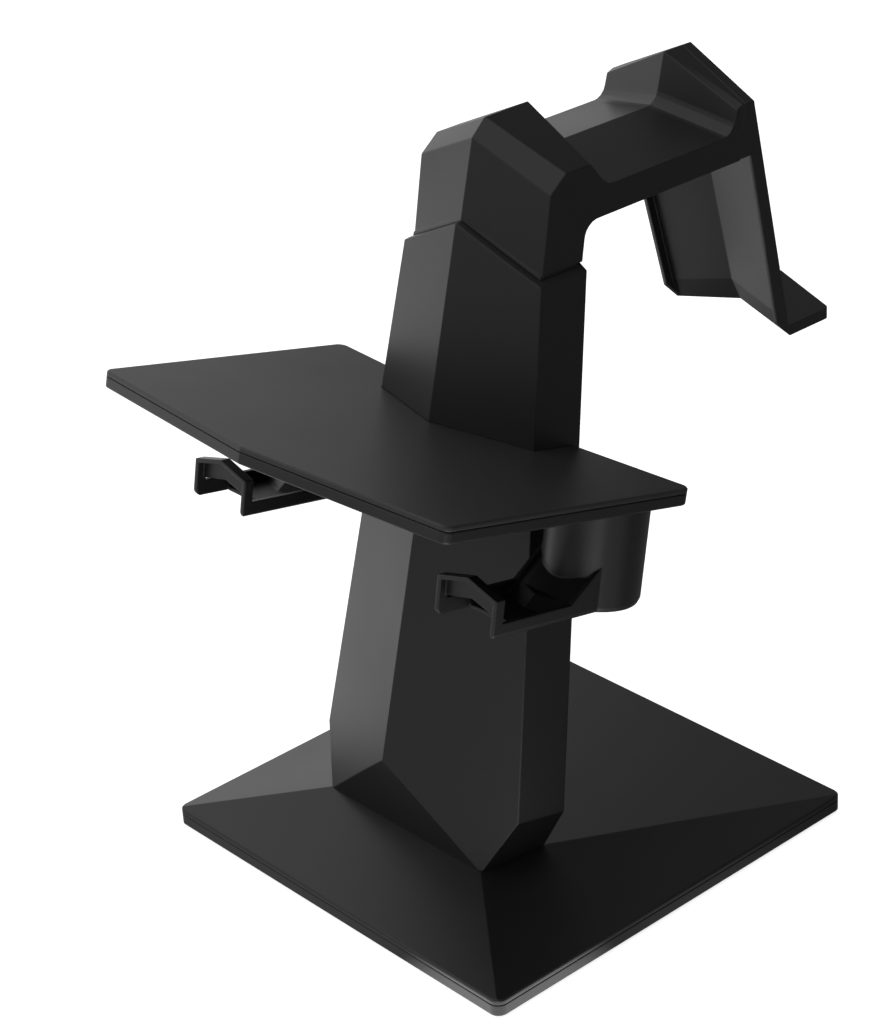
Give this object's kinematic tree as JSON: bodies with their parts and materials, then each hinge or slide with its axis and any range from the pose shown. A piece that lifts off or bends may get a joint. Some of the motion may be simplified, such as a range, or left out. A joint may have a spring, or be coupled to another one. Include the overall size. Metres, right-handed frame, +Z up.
{
  "type": "vr headset stand",
  "caption": "Freestanding display stand: a weighted square base, a leaning faceted post, a tilted shelf with a controller tray under each side, and an arm with a hanging face plate.",
  "frame": {"origin": "centre of the base's square footprint, on the surface that the foot pads stand on", "axes": "+Z up; +Y from the post towards the end of the arm, where the face plate hangs; +X across, so the stand is mirrored in the plane X = 0"},
  "size_m": [0.2426, 0.3568, 0.3746],
  "materials": {
    "black_plastic": "fine satin black moulded plastic",
    "ballast_steel": "plain rolled steel plate inside the base",
    "foot_rubber": "matte black rubber",
    "screw_steel": "zinc-plated steel screws"
  },
  "bodies": {
    "root": {"base_pan": "black_plastic", "base_cover": "black_plastic", "ballast_plate": "ballast_steel", "foot_pad_front_left": "foot_rubber", "foot_pad_front_right": "foot_rubber", "foot_pad_rear_left": "foot_rubber", "foot_pad_rear_right": "foot_rubber", "foot_pad_centre": "foot_rubber", "base_screws": "screw_steel", "post_foot_screws": "screw_steel", "lower_post_shell": "black_plastic", "lower_post_cover": "black_plastic", "upper_post_shell": "black_plastic", "upper_post_cover": "black_plastic", "neck_screws": "screw_steel", "shelf_frame": "black_plastic", "shelf_panel": "black_plastic", "shelf_clamp_screws": "screw_steel", "tray_left": "black_plastic", "tray_right": "black_plastic", "tray_screws": "screw_steel", "arm_shell": "black_plastic", "arm_underside_cover": "black_plastic", "visor_plate": "black_plastic", "visor_screws": "screw_steel"}
  },
  "joints": []
}
